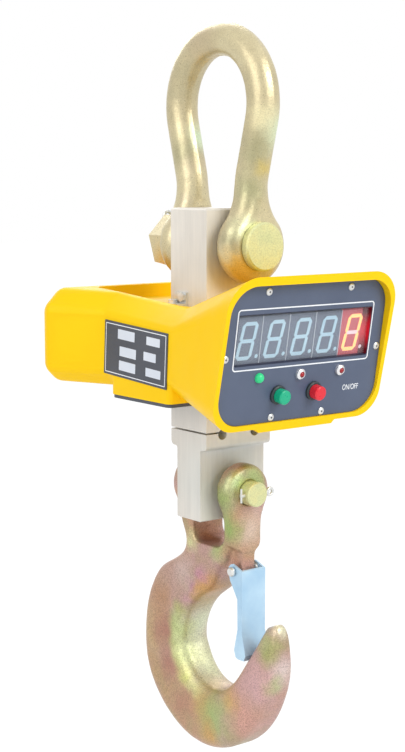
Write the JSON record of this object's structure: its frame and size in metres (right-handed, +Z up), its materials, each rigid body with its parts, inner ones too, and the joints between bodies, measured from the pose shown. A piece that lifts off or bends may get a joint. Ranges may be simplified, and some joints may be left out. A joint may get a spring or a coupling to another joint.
{
  "type": "hanging industrial weighing scale",
  "caption": "Industrial hanging weighing scale: bow shackle above a bar load cell in a yellow cast housing with a tilted digital display, and a swinging latched hook below.",
  "frame": {"origin": "hang point: the inside of the shackle bow's crown, in its middle plane, where the carrying hook or sling bears", "axes": "+Z up along the load line; +X to the right across the display as its reader sees it; -Y towards the reader, the way the display faces"},
  "size_m": [0.206, 0.2494, 0.6213],
  "materials": {
    "zinc_iridescent": "yellow zinc plate, iridescent, over forged steel",
    "zinc_bright": "bright zinc plate",
    "cell_steel": "ground, satin nickel plate",
    "yellow_paint": "smooth gloss enamel on a cast shell",
    "dark_plate": "matt",
    "black_rubber": "matt",
    "slate_panel": "satin printed film",
    "clear_window": "clear",
    "digit_face": "grey face, unlit pale segments",
    "digit_lit": "lit red and orange",
    "circuit_board": "solder resist",
    "battery_case": "satin",
    "dark_plastic": "satin",
    "ring_nut_chrome": "polished",
    "green_cap": "gloss",
    "red_cap": "gloss",
    "latch_zinc": "clear zinc plate, slightly blue"
  },
  "bodies": {
    "shackle": {"shackle_bow": "zinc_iridescent", "shackle_pin": "zinc_iridescent", "shackle_nut": "zinc_bright", "shackle_split_pin": "zinc_bright"},
    "scale_body": {"load_cell": "cell_steel", "gauge_covers": "zinc_bright", "housing": "yellow_paint", "bottom_plate": "dark_plate", "bottom_plate_screws": "zinc_bright", "cable_boot": "black_rubber", "bar_brackets": "zinc_bright", "bracket_bolts": "zinc_bright", "data_plate": "dark_plate", "cover_gasket": "black_rubber", "rear_cover": "yellow_paint", "rear_cover_screws": "zinc_bright", "charge_socket": "dark_plastic", "battery": "battery_case", "display_panel": "slate_panel", "panel_screws": "zinc_bright", "display_window": "clear_window", "digit_1": "digit_face", "digit_2": "digit_face", "digit_3": "digit_face", "digit_4": "digit_face", "digit_5": "digit_lit", "display_board": "circuit_board", "board_spacers": "zinc_bright", "main_board": "circuit_board", "board_posts": "zinc_bright", "green_button_barrel": "dark_plastic", "green_button_nut": "ring_nut_chrome", "red_button_barrel": "dark_plastic", "red_button_nut": "ring_nut_chrome", "steady_lamp": "green_cap", "low_lamp": "red_cap", "charge_lamp": "red_cap", "lamp_bezels": "ring_nut_chrome"},
    "green_button": {"green_button_cap": "green_cap"},
    "red_button": {"red_button_cap": "red_cap"},
    "hook": {"hook": "zinc_iridescent", "hook_pin": "zinc_iridescent", "hook_split_pin": "zinc_bright", "latch_pin": "zinc_bright"},
    "latch": {"latch": "latch_zinc", "latch_spring": "zinc_bright"}
  },
  "joints": [
    {"name": "scale_swing", "type": "hinge", "parent": "shackle", "child": "scale_body", "pos_m": [0, 0, -0.1555], "axis": [0, 1, 0], "range_deg": [-80, 80]},
    {"name": "hook_swing", "type": "hinge", "parent": "scale_body", "child": "hook", "pos_m": [0, 0, -0.362], "axis": [0, 1, 0], "range_deg": [-60, 60]},
    {"name": "latch_hinge", "type": "hinge", "parent": "hook", "child": "latch", "pos_m": [0, -0.033, -0.429], "axis": [1, 0, 0], "range_deg": [0, 38], "stiffness_Nm_per_rad": 0.25, "springref_deg": -17.19},
    {"name": "green_press", "type": "slide", "parent": "scale_body", "child": "green_button", "axis": [0, 0.9862, 0.1654], "range_m": [0, 0.002], "stiffness_N_per_m": 600, "springref_m": -0.001},
    {"name": "red_press", "type": "slide", "parent": "scale_body", "child": "red_button", "axis": [0, 0.9862, 0.1654], "range_m": [0, 0.002], "stiffness_N_per_m": 600, "springref_m": -0.001}
  ]
}
